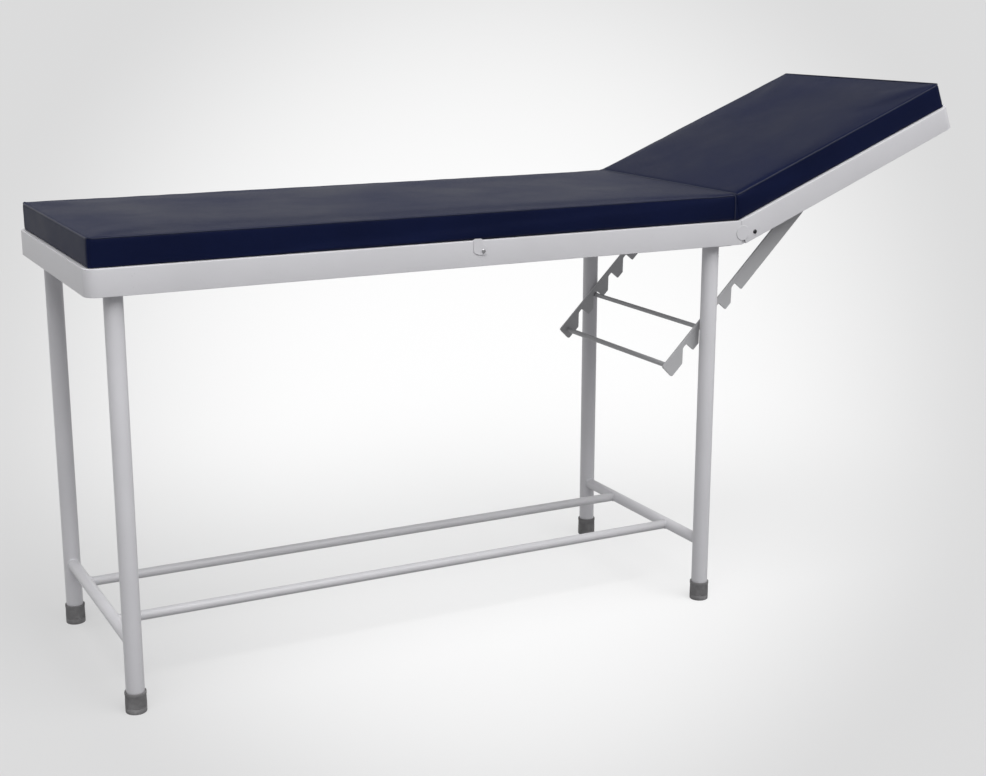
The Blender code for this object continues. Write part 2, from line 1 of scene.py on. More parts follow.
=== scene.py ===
"""Looks of the two-section examination couch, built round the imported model.

Metres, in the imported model's frame: +X to the head end, +Y to the far side, +Z up. The main
section and the backrest are each made in flat coordinates of their own: x along the section from
the hinge axis, y across, and z up from the hinge axis.
"""

import json
from math import cos, pi, radians, sin, sqrt, tan

import bmesh
import bpy
import numpy as np
from mathutils import Matrix, Vector, noise
from mathutils.bvhtree import BVHTree


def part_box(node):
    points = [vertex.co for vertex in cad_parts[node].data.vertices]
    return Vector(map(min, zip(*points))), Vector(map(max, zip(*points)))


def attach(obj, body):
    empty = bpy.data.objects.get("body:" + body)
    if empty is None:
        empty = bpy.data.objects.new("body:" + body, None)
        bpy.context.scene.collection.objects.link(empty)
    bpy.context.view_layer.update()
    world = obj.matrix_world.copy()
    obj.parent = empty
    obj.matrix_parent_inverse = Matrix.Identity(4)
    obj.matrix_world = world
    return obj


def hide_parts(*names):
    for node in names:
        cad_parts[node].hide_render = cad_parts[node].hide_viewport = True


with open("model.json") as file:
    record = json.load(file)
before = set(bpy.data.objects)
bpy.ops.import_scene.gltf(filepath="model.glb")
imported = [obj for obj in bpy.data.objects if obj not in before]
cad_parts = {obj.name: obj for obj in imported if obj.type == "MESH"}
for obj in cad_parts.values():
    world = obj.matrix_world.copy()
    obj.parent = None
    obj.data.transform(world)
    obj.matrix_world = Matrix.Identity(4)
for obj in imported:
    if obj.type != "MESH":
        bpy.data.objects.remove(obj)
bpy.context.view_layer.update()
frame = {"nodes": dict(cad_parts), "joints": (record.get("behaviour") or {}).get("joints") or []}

# Where the sections are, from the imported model
JOINTS = {joint["name"]: joint for joint in frame["joints"]}
HINGE = Vector(JOINTS["backrest_hinge"]["pos_m"])
TILT = -radians(JOINTS["backrest_hinge"]["range_deg"][0])
HALF_FOLD = tan(TILT / 2)
MAIN = Matrix.Translation(HINGE)
BACK = MAIN @ Matrix.Rotation(-TILT, 4, "Y")
SIDES = (("near", -1), ("far", 1))


def local_box(node, space):
    """Lowest and highest corner of a CAD node, in a section's flat coordinates."""
    inverse = space.inverted()
    points = np.array([inverse @ vertex.co for vertex in frame["nodes"][node].data.vertices])
    return Vector(points.min(axis=0)), Vector(points.max(axis=0))


def middle(node):
    low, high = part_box(node)
    return (low + high) / 2


# Rails: outer half width, half depth, flange, and the frame's two ends; the head end reaches
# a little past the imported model's, as in the photograph
RAIL_LOW, RAIL_HIGH = local_box("main_rail_near", MAIN)
HALF_WIDTH = -RAIL_LOW.y
TOP = RAIL_HIGH.z
FLANGE = RAIL_HIGH.y + HALF_WIDTH
FOOT_END = local_box("foot_end_rail", MAIN)[0].x
HEAD_REACH = 0.003
HEAD_END = local_box("head_end_rail", BACK)[1].x + HEAD_REACH
RAIL_THICK = 0.003
CORNER_RADIUS = 0.022
CORNER_STEPS = 10
RAIL_GAP = 0.0003

# Walls of the legs and the stretchers, how far a bar's end runs into its weld, and the edge of
# the rods; the rubber feet's wall, floor and depth of grip
LEG_WALL = 0.0016
STRETCHER_WALL = 0.0012
WELD_OVERLAP = 0.001
ROD_EDGE = 0.0006
FERRULE_WALL, FERRULE_FLOOR, GRIP_DEPTH = 0.0023, 0.006, 0.0005

# Fittings that only show here: straps at the pad, and discs over the hinge pins
STRAP_THICK = 0.0009
COVER_RADIUS = 0.0145
COVER_INNER, COVER_OUTER = 0.0002, 0.001
FITTING_EDGE = 0.0004

# Edges and weld beads
FRAME_EDGE = 0.0014
CUT_EDGE = 0.0009
ROOT_FILLET = 0.004
BEAD = 0.0023
SMALL_BEAD = 0.0016
TUBE_SIDES = 48

# Pads: edge and corner radii, how far they draw in from the CAD's box and rise above it, the
# most a point may move when the cover is inflated, and the depth of the gathers at its seams
PAD_EDGE = 0.0062
FOLD_EDGE = 0.0007
PAD_CORNER = 0.013
PAD_TUCK = 0.0006
FOLD_TUCK = 0.00015
PAD_RISE = 0.0012
CROWN, SIDE_CROWN = 0.0024, 0.45
GATHERS, GATHER_REACH = 0.0007, 0.022
WELT_RADIUS = 0.0014
PAD_PITCH, SIDE_PITCH = 0.013, 0.007
EDGE_STEPS = [0.0, 0.0012, 0.0026, 0.0042, 0.0062, 0.009, 0.013]
MITRE_REACH = 0.12
CLOTH_FRAMES, CLOTH_PRESSURE = 20, 4

# Camera: off the foot end's near corner, looking down along the couch
CAMERA_PLACE = Vector((HINGE.x + FOOT_END - 0.5503, -2.7206, 1.1856))
CAMERA_YAW, CAMERA_PITCH, CAMERA_ROLL = radians(27.267), radians(-13.86), radians(0.073)
CAMERA_LENS, SENSOR_WIDTH = 57.66, 36.0
CAMERA_AIM = Vector((
    cos(CAMERA_PITCH) * sin(CAMERA_YAW), cos(CAMERA_PITCH) * cos(CAMERA_YAW), sin(CAMERA_PITCH),
))

# Stage: reach of the floor, its cove and wall; a painted pool of light lies white behind the
# couch as a cone from one fixed place, and fades out at this cosine; the share of the tone
# that takes shadows, and the light that an open floor gets
FLOOR_RADIUS, COVE, WALL_HEIGHT = 4.5, 3.0, 7.0
POOL_FROM, POOL_AIM, POOL_RIM = CAMERA_PLACE, CAMERA_AIM, 0.948
POOL_WHITE, STAGE_GREY = (0.99, 0.99, 0.99), (0.71, 0.71, 0.712)
SHADOW_SHARE = 0.35
FLOOR_LIGHT = 1.22

# Light from the dome: in front, behind, and what is left of it overhead and underneath; and the
# sun's strength, width and direction
DOME_FRONT = (0.38, 0.38, 0.387)
DOME_REAR = (0.70, 0.70, 0.70)
DOME_OVERHEAD, DOME_UNDER = 0.16, 0.85
SUN_STRENGTH, SUN_WIDTH, SUN_AIM = 3.4, radians(60), Vector((-0.02, 0.5, -0.88))


# Materials


def linked(tree, kind, **sockets):
    """A new node; each socket takes a value or another node's output."""
    made = tree.nodes.new(kind)
    for name, value in sockets.items():
        key = int(name[1:]) if name[1:].isdigit() else name.replace("_", " ")
        socket = made.inputs[key]
        if isinstance(value, bpy.types.NodeSocket):
            tree.links.new(value, socket)
        else:
            socket.default_value = value
    return made


def surface(name, colour, roughness, metallic=0.0, specular=0.5):
    """A Principled material of one colour, with the object's own coordinates at hand."""
    made = bpy.data.materials.new(name)
    made.use_nodes = True
    tree = made.node_tree
    shader = tree.nodes["Principled BSDF"]
    shader.inputs["Base Color"].default_value = (*colour, 1.0)
    shader.inputs["Roughness"].default_value = roughness
    shader.inputs["Metallic"].default_value = metallic
    shader.inputs["Specular IOR Level"].default_value = specular
    place = tree.nodes.new("ShaderNodeTexCoord").outputs["Object"]
    return made, tree, shader, place


def maths(tree, operation, first, second):
    """The result of a Math node."""
    made = linked(tree, "ShaderNodeMath", _0=first, _1=second)
    made.operation = operation
    return made.outputs["Value"]


def vectors(tree, operation, first, second=(0.0, 0.0, 0.0), **sockets):
    """The result of a Vector Math node, a number or a vector."""
    made = linked(tree, "ShaderNodeVectorMath", _0=first, _1=second, **sockets)
    made.operation = operation
    return made.outputs["Value" if operation in ("LENGTH", "DOT_PRODUCT") else "Vector"]


def spots(tree, place, scale, detail=2.0, roughness=0.5, distortion=0.0):
    """A noise's level; the scale is in features per metre."""
    return linked(
        tree, "ShaderNodeTexNoise", Vector=place, Scale=scale, Detail=detail, Roughness=roughness,
        Distortion=distortion,
    ).outputs["Fac"]


def between(tree, factor, low, high, start=0.0, stop=1.0, smooth=False):
    """A number that goes from low to high as the factor goes from start to stop."""
    made = linked(tree, "ShaderNodeMapRange", Value=factor)
    if smooth:
        made.interpolation_type = "SMOOTHSTEP"
    limits = {"From Min": start, "From Max": stop, "To Min": low, "To Max": high}
    for socket, value in limits.items():
        made.inputs[socket].default_value = value
    return made.outputs["Result"]


def tinted(tree, factor, first, second):
    """A colour mixed from two by a factor."""
    made = tree.nodes.new("ShaderNodeMix")
    made.data_type = "RGBA"
    tree.links.new(factor, made.inputs[0])
    for socket, colour in ((made.inputs[6], first), (made.inputs[7], second)):
        if isinstance(colour, bpy.types.NodeSocket):
            tree.links.new(colour, socket)
        else:
            socket.default_value = (*colour, 1.0)
    return made.outputs[2]


def bumped(tree, height, distance, strength=1.0, under=None):
    """A bump of a height over another one; the distance is the real height in metres."""
    made = linked(tree, "ShaderNodeBump", Height=height, Distance=distance, Strength=strength)
    if under is not None:
        tree.links.new(under, made.inputs["Normal"])
    return made.outputs["Normal"]


def shade(colour, factor):
    return tuple(channel * factor for channel in colour)


def paint(name, colour):
    """Stoved enamel on steel: a fine orange peel, faint clouding, and a few dull specks."""
    made, tree, shader, place = surface(name, colour, 0.36, specular=0.4)
    clouds = spots(tree, place, 7.0, detail=4.0)
    specks = spots(tree, place, 420.0, detail=1.0)
    cloudy = tinted(tree, between(tree, clouds, 0.0, 1.0, 0.35, 0.65), shade(colour, 0.955), colour)
    dull = between(tree, specks, 0.0, 0.5, 0.74, 0.8)
    tree.links.new(tinted(tree, dull, cloudy, shade(colour, 0.7)), shader.inputs["Base Color"])
    tree.links.new(between(tree, clouds, 0.31, 0.43), shader.inputs["Roughness"])
    peel = bumped(tree, spots(tree, place, 650.0, detail=1.5), 0.00005)
    runs = bumped(tree, spots(tree, place, 45.0, detail=2.0), 0.0003, 0.4, peel)
    tree.links.new(runs, shader.inputs["Normal"])
    return made


def vinyl(name, colour, gloss=0.1):
    """Rexine: coated cloth with a shallow leather grain, its creases painted darker as shade,
    and a soft sheen that varies.
    """
    made, tree, shader, place = surface(name, colour, 0.46, specular=gloss)
    grain = tree.nodes.new("ShaderNodeTexVoronoi")
    grain.feature = "DISTANCE_TO_EDGE"
    swirl = linked(tree, "ShaderNodeTexNoise", Vector=place, Scale=240.0, Detail=1.0)
    offset = vectors(tree, "MULTIPLY", swirl.outputs["Color"], (0.0012,) * 3)
    tree.links.new(vectors(tree, "ADD", place, offset), grain.inputs["Vector"])
    grain.inputs["Scale"].default_value = 620.0
    creases = between(tree, grain.outputs["Distance"], 0.0, 1.0, 0.0, 0.12)
    clouds = spots(tree, place, 5.0, detail=5.0, roughness=0.6)
    patches = between(tree, clouds, 0.0, 1.0, 0.3, 0.7)
    patchy = tinted(tree, patches, shade(colour, 0.86), shade(colour, 1.14))
    # painted shade: the grain's creases are made darker
    grain_crease_shade = tinted(tree, between(tree, creases, 0.35, 0.0), patchy, shade(colour, 0.45))
    tree.links.new(grain_crease_shade, shader.inputs["Base Color"])
    tree.links.new(between(tree, clouds, 0.42, 0.52, 0.3, 0.7), shader.inputs["Roughness"])
    skin = bumped(tree, creases, 0.00012, 0.7)
    pores = bumped(tree, spots(tree, place, 1500.0, detail=1.0), 0.00004, 0.6, skin)
    slack = bumped(tree, spots(tree, place, 11.0, detail=2.0, distortion=0.4), 0.0016, 0.5, pores)
    tree.links.new(slack, shader.inputs["Normal"])
    return made


def steel(name, colour, roughness):
    """Plated fasteners: fine turning scratches and a patchy tone."""
    made, tree, shader, place = surface(name, colour, roughness, metallic=1.0)
    clouds = spots(tree, place, 300.0, detail=3.0)
    patches = between(tree, clouds, 0.0, 1.0, 0.3, 0.7)
    tone = tinted(tree, patches, shade(colour, 0.75), shade(colour, 1.1))
    tree.links.new(tone, shader.inputs["Base Color"])
    spread = between(tree, clouds, roughness - 0.08, roughness + 0.1)
    tree.links.new(spread, shader.inputs["Roughness"])
    tree.links.new(bumped(tree, spots(tree, place, 2500.0), 0.00002), shader.inputs["Normal"])
    return made


def rubber(name, colour):
    """Moulded grey rubber: matt, finely pitted, and dusty in patches."""
    made, tree, shader, place = surface(name, colour, 0.68, specular=0.3)
    dust = spots(tree, place, 60.0, detail=4.0, roughness=0.6)
    tone = tinted(tree, between(tree, dust, 0.0, 1.0, 0.4, 0.75), colour, shade(colour, 1.5))
    tree.links.new(tone, shader.inputs["Base Color"])
    tree.links.new(between(tree, dust, 0.6, 0.8), shader.inputs["Roughness"])
    pits = bumped(tree, spots(tree, place, 1400.0, detail=2.0), 0.00006)
    tree.links.new(pits, shader.inputs["Normal"])
    return made


SURFACES = {
    "white_paint": paint("white_paint", (0.625, 0.62, 0.642)),
    # the long bars' look: the frame's white paint made darker, painted shade for where they stand
    # low under the couch
    "painted_shade_bar_paint": paint("painted_shade_bar_paint", (0.54, 0.536, 0.553)),
    # the arms' paint is the frame's white made darker: painted shade for the arms under the
    # backrest
    "arm_paint": paint("arm_paint", (0.45, 0.45, 0.46)),
    # the rods' look: the arms' paint made darker still, painted shade for the rods under the couch
    # and backrest
    "painted_shade_rod_paint": paint("painted_shade_rod_paint", (0.36, 0.36, 0.37)),
    "deck_sheet": paint("deck_sheet", (0.56, 0.56, 0.575)),
    "navy_vinyl": vinyl("navy_vinyl", (0.0022, 0.0056, 0.032)),
    # the welts' look: the navy vinyl made lighter, a painted highlight along the pads' edges, and
    # glossier
    "navy_piping_painted_highlight": vinyl("navy_piping_painted_highlight", (0.011, 0.015, 0.042), gloss=0.32),
    "zinc_steel": steel("zinc_steel", (0.56, 0.56, 0.57), 0.34),
    "black_steel": steel("black_steel", (0.06, 0.06, 0.065), 0.42),
    "grey_rubber": rubber("grey_rubber", (0.14, 0.138, 0.14)),
}


# Mesh tools


def piece(name, points, faces, slot, body, replaced=(), space=None, smooth=38, look=None):
    """A closed mesh piece that rides on a body and takes a slot's material, or another's look."""
    mesh = bpy.data.meshes.new(name)
    mesh.from_pydata([tuple(point) for point in points], [], faces)
    work = bmesh.new()
    work.from_mesh(mesh)
    bmesh.ops.remove_doubles(work, verts=work.verts, dist=0.000002)
    bmesh.ops.recalc_face_normals(work, faces=work.faces)
    if space is not None:
        bmesh.ops.transform(work, matrix=space, verts=work.verts)
    work.to_mesh(mesh)
    work.free()
    return dressed(bpy.data.objects.new(name, mesh), slot, body, replaced, smooth, look)


def dressed(obj, slot, body, replaced=(), smooth=38, look=None):
    """An object put in the scene with the material of its slot or look, on its body;
    the nodes it replaces are hidden.
    """
    if obj.name not in bpy.context.scene.collection.objects:
        bpy.context.scene.collection.objects.link(obj)
    obj.data.materials.clear()
    obj.data.materials.append(SURFACES[look or slot])
    obj.data.shade_smooth()
    obj.data.set_sharp_from_angle(angle=radians(smooth))
    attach(obj, body)
    if replaced:
        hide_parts(*replaced)
    return obj


def swept(rings, loop=False):
    """Points and faces of a closed section carried along rings of equal length."""
    size = len(rings[0])
    points = [point for ring in rings for point in ring]
    count = len(rings)
    faces = []
    for ring in range(count if loop else count - 1):
        here, there = ring * size, (ring + 1) % count * size
        for k in range(size):
            after = (k + 1) % size
            faces.append((here + k, here + after, there + after, there + k))
    if not loop:
        faces.append(tuple(range(size))[::-1])
        faces.append(tuple(range((count - 1) * size, count * size)))
    return points, faces


def joined(parts):
    """Several (points, faces) as one."""
    points, faces = [], []
    for some, their_faces in parts:
        base = len(points)
        points += some
        faces += [tuple(base + index for index in face) for face in their_faces]
    return points, faces


def across(direction):
    """Two directions square to this one and to each other."""
    direction = Vector(direction).normalized()
    side = direction.orthogonal().normalized()
    return side, direction.cross(side)


def turned(profile, origin, direction, sides=TUBE_SIDES, closed=False):
    """Points and faces of a profile of (radius, distance along) turned about an axis."""
    u, v = across(direction)
    along = Vector(direction).normalized()
    rings = []
    for step in range(sides):
        angle = 2 * pi * step / sides
        out = cos(angle) * u + sin(angle) * v
        rings.append([Vector(origin) + radius * out + at * along for radius, at in profile])
    points, faces = swept(rings, loop=True)
    if not closed:
        last = len(profile) - 1
        faces = [f for f in faces if not (f[0] % len(profile) == last and f[1] % len(profile) == 0)]
    return points, faces


def eased(corners, steps=4):
    """A closed outline of (u, v, reach) corners, each bent over its reach along both sides."""
    outline = []
    around = zip(corners[-1:] + corners[:-1], corners, corners[1:] + corners[:1])
    for before, (u, v, reach), after in around:
        corner = Vector((u, v))
        if not reach:
            outline.append(corner)
            continue
        start = corner + (Vector(before[:2]) - corner).normalized() * reach
        stop = corner + (Vector(after[:2]) - corner).normalized() * reach
        for step in range(steps + 1):
            t = step / steps
            outline.append(start.lerp(corner, t).lerp(corner.lerp(stop, t), t))
    return outline


def tube_profile(outer, inner, low, high, edge=0.0004):
    """Closed wall section of a tube, with its end edges broken."""
    corners = [(outer, low, edge), (outer, high, edge), (inner, high, edge), (inner, low, edge)]
    return [tuple(point) for point in eased(corners, 2)]


def bead(path, radius, seed, closed=False):
    """A weld bead along a path: a round section whose width ripples as the weld pool moved on."""
    path = [Vector(point) for point in path]
    count = len(path)
    rings = []
    side = None
    for index, point in enumerate(path):
        before = path[index - 1] if closed or index else point
        after = path[(index + 1) % count] if closed or index < count - 1 else point
        tangent = (after - before).normalized()
        if side is None:
            side = tangent.orthogonal()
        side = (side - tangent * side.dot(tangent)).normalized()
        up = tangent.cross(side)
        unevenness = noise.noise(point * 90 + Vector((seed, 0, 0)))
        ripple = 0.86 + 0.14 * abs(sin(index * 1.35)) + 0.22 * unevenness
        ends = 1.0 if closed else min(1.0, 0.35 + 0.3 * min(index, count - 1 - index))
        size = radius * ripple * ends
        rings.append([
            point + size * (cos(a) * side + sin(a) * up) for a in (2 * pi * k / 8 for k in range(8))
        ])
    return swept(rings, loop=closed)


def straight(start, stop, pitch=0.0011):
    """Evenly spaced points from one place to another."""
    start, stop = Vector(start), Vector(stop)
    count = max(2, round((stop - start).length / pitch))
    return [start.lerp(stop, step / count) for step in range(count + 1)]


def saddle(centre, axis, radius, other_axis, other_radius, steps=72):
    """The line where a round tube along axis meets the side of another round tube."""
    axis, other_axis = Vector(axis), Vector(other_axis)
    square = axis.cross(other_axis)
    line = []
    for step in range(steps):
        angle = 2 * pi * step / steps
        off = radius * sin(angle)
        reach = sqrt(max(other_radius**2 - off**2, 0.0))
        line.append(Vector(centre) + radius * cos(angle) * other_axis + off * square + reach * axis)
    return line


def ring_path(centre, axis, radius, steps=72):
    """A circle of points about an axis."""
    u, v = across(axis)
    turns = (2 * pi * step / steps for step in range(steps))
    return [Vector(centre) + radius * (cos(a) * u + sin(a) * v) for a in turns]


# Angle-section frames


def angle_section():
    """Closed section of the frame's angle, as (inward, up) from its outer face and mid depth."""
    under = TOP - RAIL_THICK
    return eased([
        (0.0, -TOP, CUT_EDGE), (0.0, 0.0, 0.0), (0.0, TOP, FRAME_EDGE), (FLANGE, TOP, CUT_EDGE),
        (FLANGE, under, CUT_EDGE), (RAIL_THICK, under, ROOT_FILLET), (RAIL_THICK, 0.0, 0.0),
        (RAIL_THICK, -TOP, CUT_EDGE),
    ])


def bent_frame(name, end, body, space, replaced):
    """One U of angle, from the hinge round both corners, its ends cut for the fold."""
    turn = 1 if end > 0 else -1
    section = angle_section()
    rings = []
    for side in (-1, 1):
        hinge_end = [
            Vector((turn * (RAIL_GAP + max(z, 0.0) * HALF_FOLD), side * (HALF_WIDTH - inward), z))
            for inward, z in section
        ]
        corner = []
        for step in range(CORNER_STEPS + 1):
            angle = pi / 2 * step / CORNER_STEPS
            ring = []
            for inward, z in section:
                bend = max(CORNER_RADIUS - inward, 0.0)
                back = max(CORNER_RADIUS, inward)
                x = end - turn * (back - bend * sin(angle))
                y = side * (HALF_WIDTH - back + bend * cos(angle))
                ring.append(Vector((x, y, z)))
            corner.append(ring)
        half = [hinge_end] + corner
        rings += half if side < 0 else half[::-1]
    points, faces = swept(rings)
    return piece(name, points, faces, "white_paint", body, replaced, space)


def section_frames():
    """Both sections' frames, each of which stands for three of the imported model's rails."""
    rails = [f"main_rail_{word}" for word, _ in SIDES]
    bent_frame("main_frame_angle", FOOT_END, "root", MAIN, ["foot_end_rail"] + rails)
    rails = [f"backrest_rail_{word}" for word, _ in SIDES]
    bent_frame("backrest_frame_angle", HEAD_END, "backrest", BACK, ["head_end_rail"] + rails)


# Tubes, ferrules and bars


def round_node(node, direction):
    """Centre, radius and half length of a round bar's CAD node along a direction."""
    low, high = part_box(node)
    along = Vector(direction)
    size = high - low
    half = size.dot(along) / 2
    radius = min(size.x, size.y, size.z) / 2
    return (low + high) / 2, radius, half


Z_AXIS, Y_AXIS, X_AXIS = Vector((0, 0, 1)), Vector((0, 1, 0)), Vector((1, 0, 0))
CORNERS = [(end, word) for end in ("foot", "head") for word, _ in SIDES]


def legs():
    """Four open tubes in rubber cups."""
    for end, word in CORNERS:
        centre, radius, half = round_node(f"leg_{end}_{word}", Z_AXIS)
        profile = tube_profile(radius, radius - LEG_WALL, -half, half)
        points, faces = turned(profile, centre, Z_AXIS, closed=True)
        piece(f"leg_tube_{end}_{word}", points, faces, "white_paint", "root", [f"leg_{end}_{word}"])
        ferrule(end, word)


def ferrule(end, word):
    """A rubber cup: rolled rim, two grip rings, and a foot with a broken edge."""
    low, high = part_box(f"ferrule_{end}_{word}")
    radius = (high.x - low.x) / 2
    height = high.z - low.z
    bore = radius - FERRULE_WALL
    skin, groove = radius - 0.0002, radius - GRIP_DEPTH - 0.0002
    corners = [(0.0, 0.0, 0.0), (radius - 0.0004, 0.0, 0.0016), (skin, 0.009, 0.0)]
    for at in (0.0095, 0.0125):
        corners += [(groove, at, 0.0), (groove, at + 0.0012, 0.0)]
        corners += [(skin, at + 0.0016, 0.0), (skin, at + 0.0028, 0.0)]
    corners += [
        (radius - 0.0006, height - 0.007, 0.0), (radius, height - 0.0055, 0.0005),
        (radius, height, 0.0013), (bore, height, 0.0008), (bore, FERRULE_FLOOR, 0.0),
        (0.0, FERRULE_FLOOR, 0.0),
    ]
    profile = [tuple(point) for point in eased(corners)]
    origin = Vector(((low.x + high.x) / 2, (low.y + high.y) / 2, low.z))
    points, faces = turned(profile, origin, Z_AXIS, closed=True)
    name = f"ferrule_{end}_{word}"
    piece(f"rubber_{name}", points, faces, "grey_rubber", "root", [name], smooth=50)


def stretchers():
    """Low cross tubes between the legs, the long bars between those, and the support rod."""
    for end in ("foot", "head"):
        name = f"{end}_cross_tube"
        centre, radius, half = round_node(name, Y_AXIS)
        half += WELD_OVERLAP
        profile = tube_profile(radius, radius - STRETCHER_WALL, -half, half)
        points, faces = turned(profile, centre, Y_AXIS, 40, closed=True)
        piece(f"low_{name}", points, faces, "white_paint", "root", [name])
    for word, _ in SIDES:
        name = f"long_bar_{word}"
        centre, radius, half = round_node(name, X_AXIS)
        half += WELD_OVERLAP
        profile = tube_profile(radius, radius - STRETCHER_WALL, -half, half)
        points, faces = turned(profile, centre, X_AXIS, 36, closed=True)
        # a darker look of the white paint: painted shade on the long bars
        piece(f"low_{name}", points, faces, "white_paint", "root", [name], look="painted_shade_bar_paint")
    rod("support_rod", "root")
    rod("tie_rod", "ratchet_arms")


def rod(name, body):
    """A solid round bar along Y, longer at each end so that it runs into its weld."""
    centre, radius, half = round_node(name, Y_AXIS)
    half += WELD_OVERLAP
    profile = [(0.0, -half), (radius - ROD_EDGE, -half), (radius, ROD_EDGE - half)]
    profile += [(r, -at) for r, at in reversed(profile)]
    points, faces = turned(profile, centre, Y_AXIS, 32)
    # a darker look of the arms' paint: painted shade on the rods
    piece(f"{name}_bar", points, faces, "arm_paint", body, [name], look="painted_shade_rod_paint")


def softened(node, body, slot, width):
    """A CAD node's own shape with its edges broken."""
    mesh = frame["nodes"][node].data.copy()
    work = bmesh.new()
    work.from_mesh(mesh)
    bmesh.ops.remove_doubles(work, verts=work.verts, dist=0.00001)
    bmesh.ops.dissolve_limit(work, angle_limit=radians(2), verts=work.verts, edges=work.edges)
    work.to_mesh(mesh)
    work.free()
    obj = bpy.data.objects.new(f"{node}_finished", mesh)
    broken(obj, width).harden_normals = True
    dressed(obj, slot, body, [node])


def broken(obj, width):
    """A bevel that breaks an object's sharp edges."""
    edge = obj.modifiers.new("broken_edges", "BEVEL")
    edge.width = width
    edge.segments = 2
    edge.limit_method = "ANGLE"
    edge.angle_limit = radians(40)
    return edge


def plates_and_bars():
    """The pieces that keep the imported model's shape."""
    for node in ("deck_crossbar_1", "deck_crossbar_2", "deck_crossbar_3", "hinge_crossbar"):
        softened(node, "root", "white_paint", 0.001)
    for node in ("backrest_hinge_crossbar", "arm_crossbar"):
        softened(node, "backrest", "white_paint", 0.001)
    softened("main_deck", "root", "deck_sheet", 0.0004)
    softened("backrest_deck", "backrest", "deck_sheet", 0.0004)
    for word, _ in SIDES:
        softened(f"hinge_lug_{word}", "root", "white_paint", 0.0005)
        softened(f"backrest_lug_{word}", "backrest", "white_paint", 0.0005)
        softened(f"arm_lug_{word}", "backrest", "white_paint", 0.0005)
        # the arms take the darker white: painted shade
        softened(f"ratchet_arm_{word}", "ratchet_arms", "arm_paint", 0.0006)
        softened(f"hinge_washer_{word}", "root", "zinc_steel", 0.0002)
        softened(f"hinge_pin_{word}", "root", "zinc_steel", 0.0004)
        for node in ("lug_spacer", "arm_washer", "arm_nut"):
            softened(f"{node}_{word}", "backrest", "zinc_steel", 0.0003)
        softened(f"arm_bolt_{word}", "backrest", "zinc_steel", 0.0003)
        softened(f"lug_bolt_{word}", "backrest", "black_steel", 0.0003)
        softened(f"clip_screw_{word}", "root", "zinc_steel", 0.0003)


def plate(name, outline, inner, outer, replaced=()):
    """A flat plate on the outside of the main frame, its outline eased and its edges broken."""
    rings = [[Vector((u, y, v)) for u, v in eased(outline)] for y in (inner, outer)]
    points, faces = swept(rings)
    broken(piece(name, points, faces, "white_paint", "root", replaced, MAIN), FITTING_EDGE)


def clips():
    """Straps that hold the pad: a tab up past the rail, and a foot round the screw beside it."""
    for word, side in SIDES:
        low, high = local_box(f"pad_clip_{word}", MAIN)
        inner = high.y if side < 0 else low.y
        screw = middle(f"clip_screw_{word}") - HINGE
        outline = [
            (-0.0195, -0.002, 0.004), (-0.0195, high.z - screw.z, 0.003),
            (-0.0025, high.z - screw.z, 0.003), (-0.001, 0.013, 0.003), (0.0075, 0.008, 0.004),
            (0.0075, -0.007, 0.004), (-0.008, -0.007, 0.004),
        ]
        outline = [(screw.x + u, screw.z + v, reach) for u, v, reach in outline]
        outer = inner + side * STRAP_THICK
        plate(f"pad_strap_{word}", outline, inner, outer, [f"pad_clip_{word}"])


def hinge_covers():
    """Pressed discs over the hinge pins, outside both rails."""
    for word, side in SIDES:
        turns = (2 * pi * step / 48 for step in range(48))
        outline = [(COVER_RADIUS * cos(a), COVER_RADIUS * sin(a), 0.0) for a in turns]
        inner, outer = side * (HALF_WIDTH + COVER_INNER), side * (HALF_WIDTH + COVER_OUTER)
        plate(f"hinge_cover_{word}", outline, inner, outer)


# Welds


def frame_welds():
    """Beads where the legs meet the frame and the stretchers, and at the ends of every bar."""
    runs = []
    under = HINGE.z + TOP - RAIL_THICK
    low_z = middle("foot_cross_tube").z
    for end, word in CORNERS:
        centre, radius, _ = round_node(f"leg_{end}_{word}", Z_AXIS)
        seed = len(runs)
        at = Vector((centre.x, centre.y, under - BEAD * 0.4))
        runs.append(bead(ring_path(at, Z_AXIS, radius + BEAD * 0.3), BEAD, seed, closed=True))
        inward = Vector((0, -1 if centre.y > 0 else 1, 0))
        tube = round_node(f"{end}_cross_tube", Y_AXIS)[1]
        line = saddle((centre.x, centre.y, low_z), inward, tube, Z_AXIS, radius)
        runs.append(bead(line, SMALL_BEAD, seed + 1, closed=True))
        if end == "head":
            rod_radius = round_node("support_rod", Y_AXIS)[1]
            at = (centre.x, centre.y, middle("support_rod").z)
            line = saddle(at, inward, rod_radius, Z_AXIS, radius, 48)
            runs.append(bead(line, SMALL_BEAD, seed + 2, closed=True))
    for word, _ in SIDES:
        bar, radius, _ = round_node(f"long_bar_{word}", X_AXIS)
        for end, inward in (("foot", 1), ("head", -1)):
            tube, tube_radius, _ = round_node(f"{end}_cross_tube", Y_AXIS)
            at = (tube.x, bar.y, bar.z)
            line = saddle(at, Vector((inward, 0, 0)), radius, Y_AXIS, tube_radius, 60)
            runs.append(bead(line, SMALL_BEAD, len(runs), closed=True))
    for node in ("deck_crossbar_1", "deck_crossbar_2", "deck_crossbar_3"):
        runs += bar_end_welds(node, MAIN, HALF_WIDTH - RAIL_THICK)
    for word, side in SIDES:
        low, high = local_box(f"hinge_lug_{word}", MAIN)
        web = side * (HALF_WIDTH - RAIL_THICK)
        for z in (low.z, high.z):
            run = straight((low.x + 0.002, web, z), (-0.022, web, z))
            runs.append(bead([MAIN @ point for point in run], SMALL_BEAD, len(runs)))
    points, faces = joined(runs)
    piece("frame_welds", points, faces, "white_paint", "root", smooth=80)


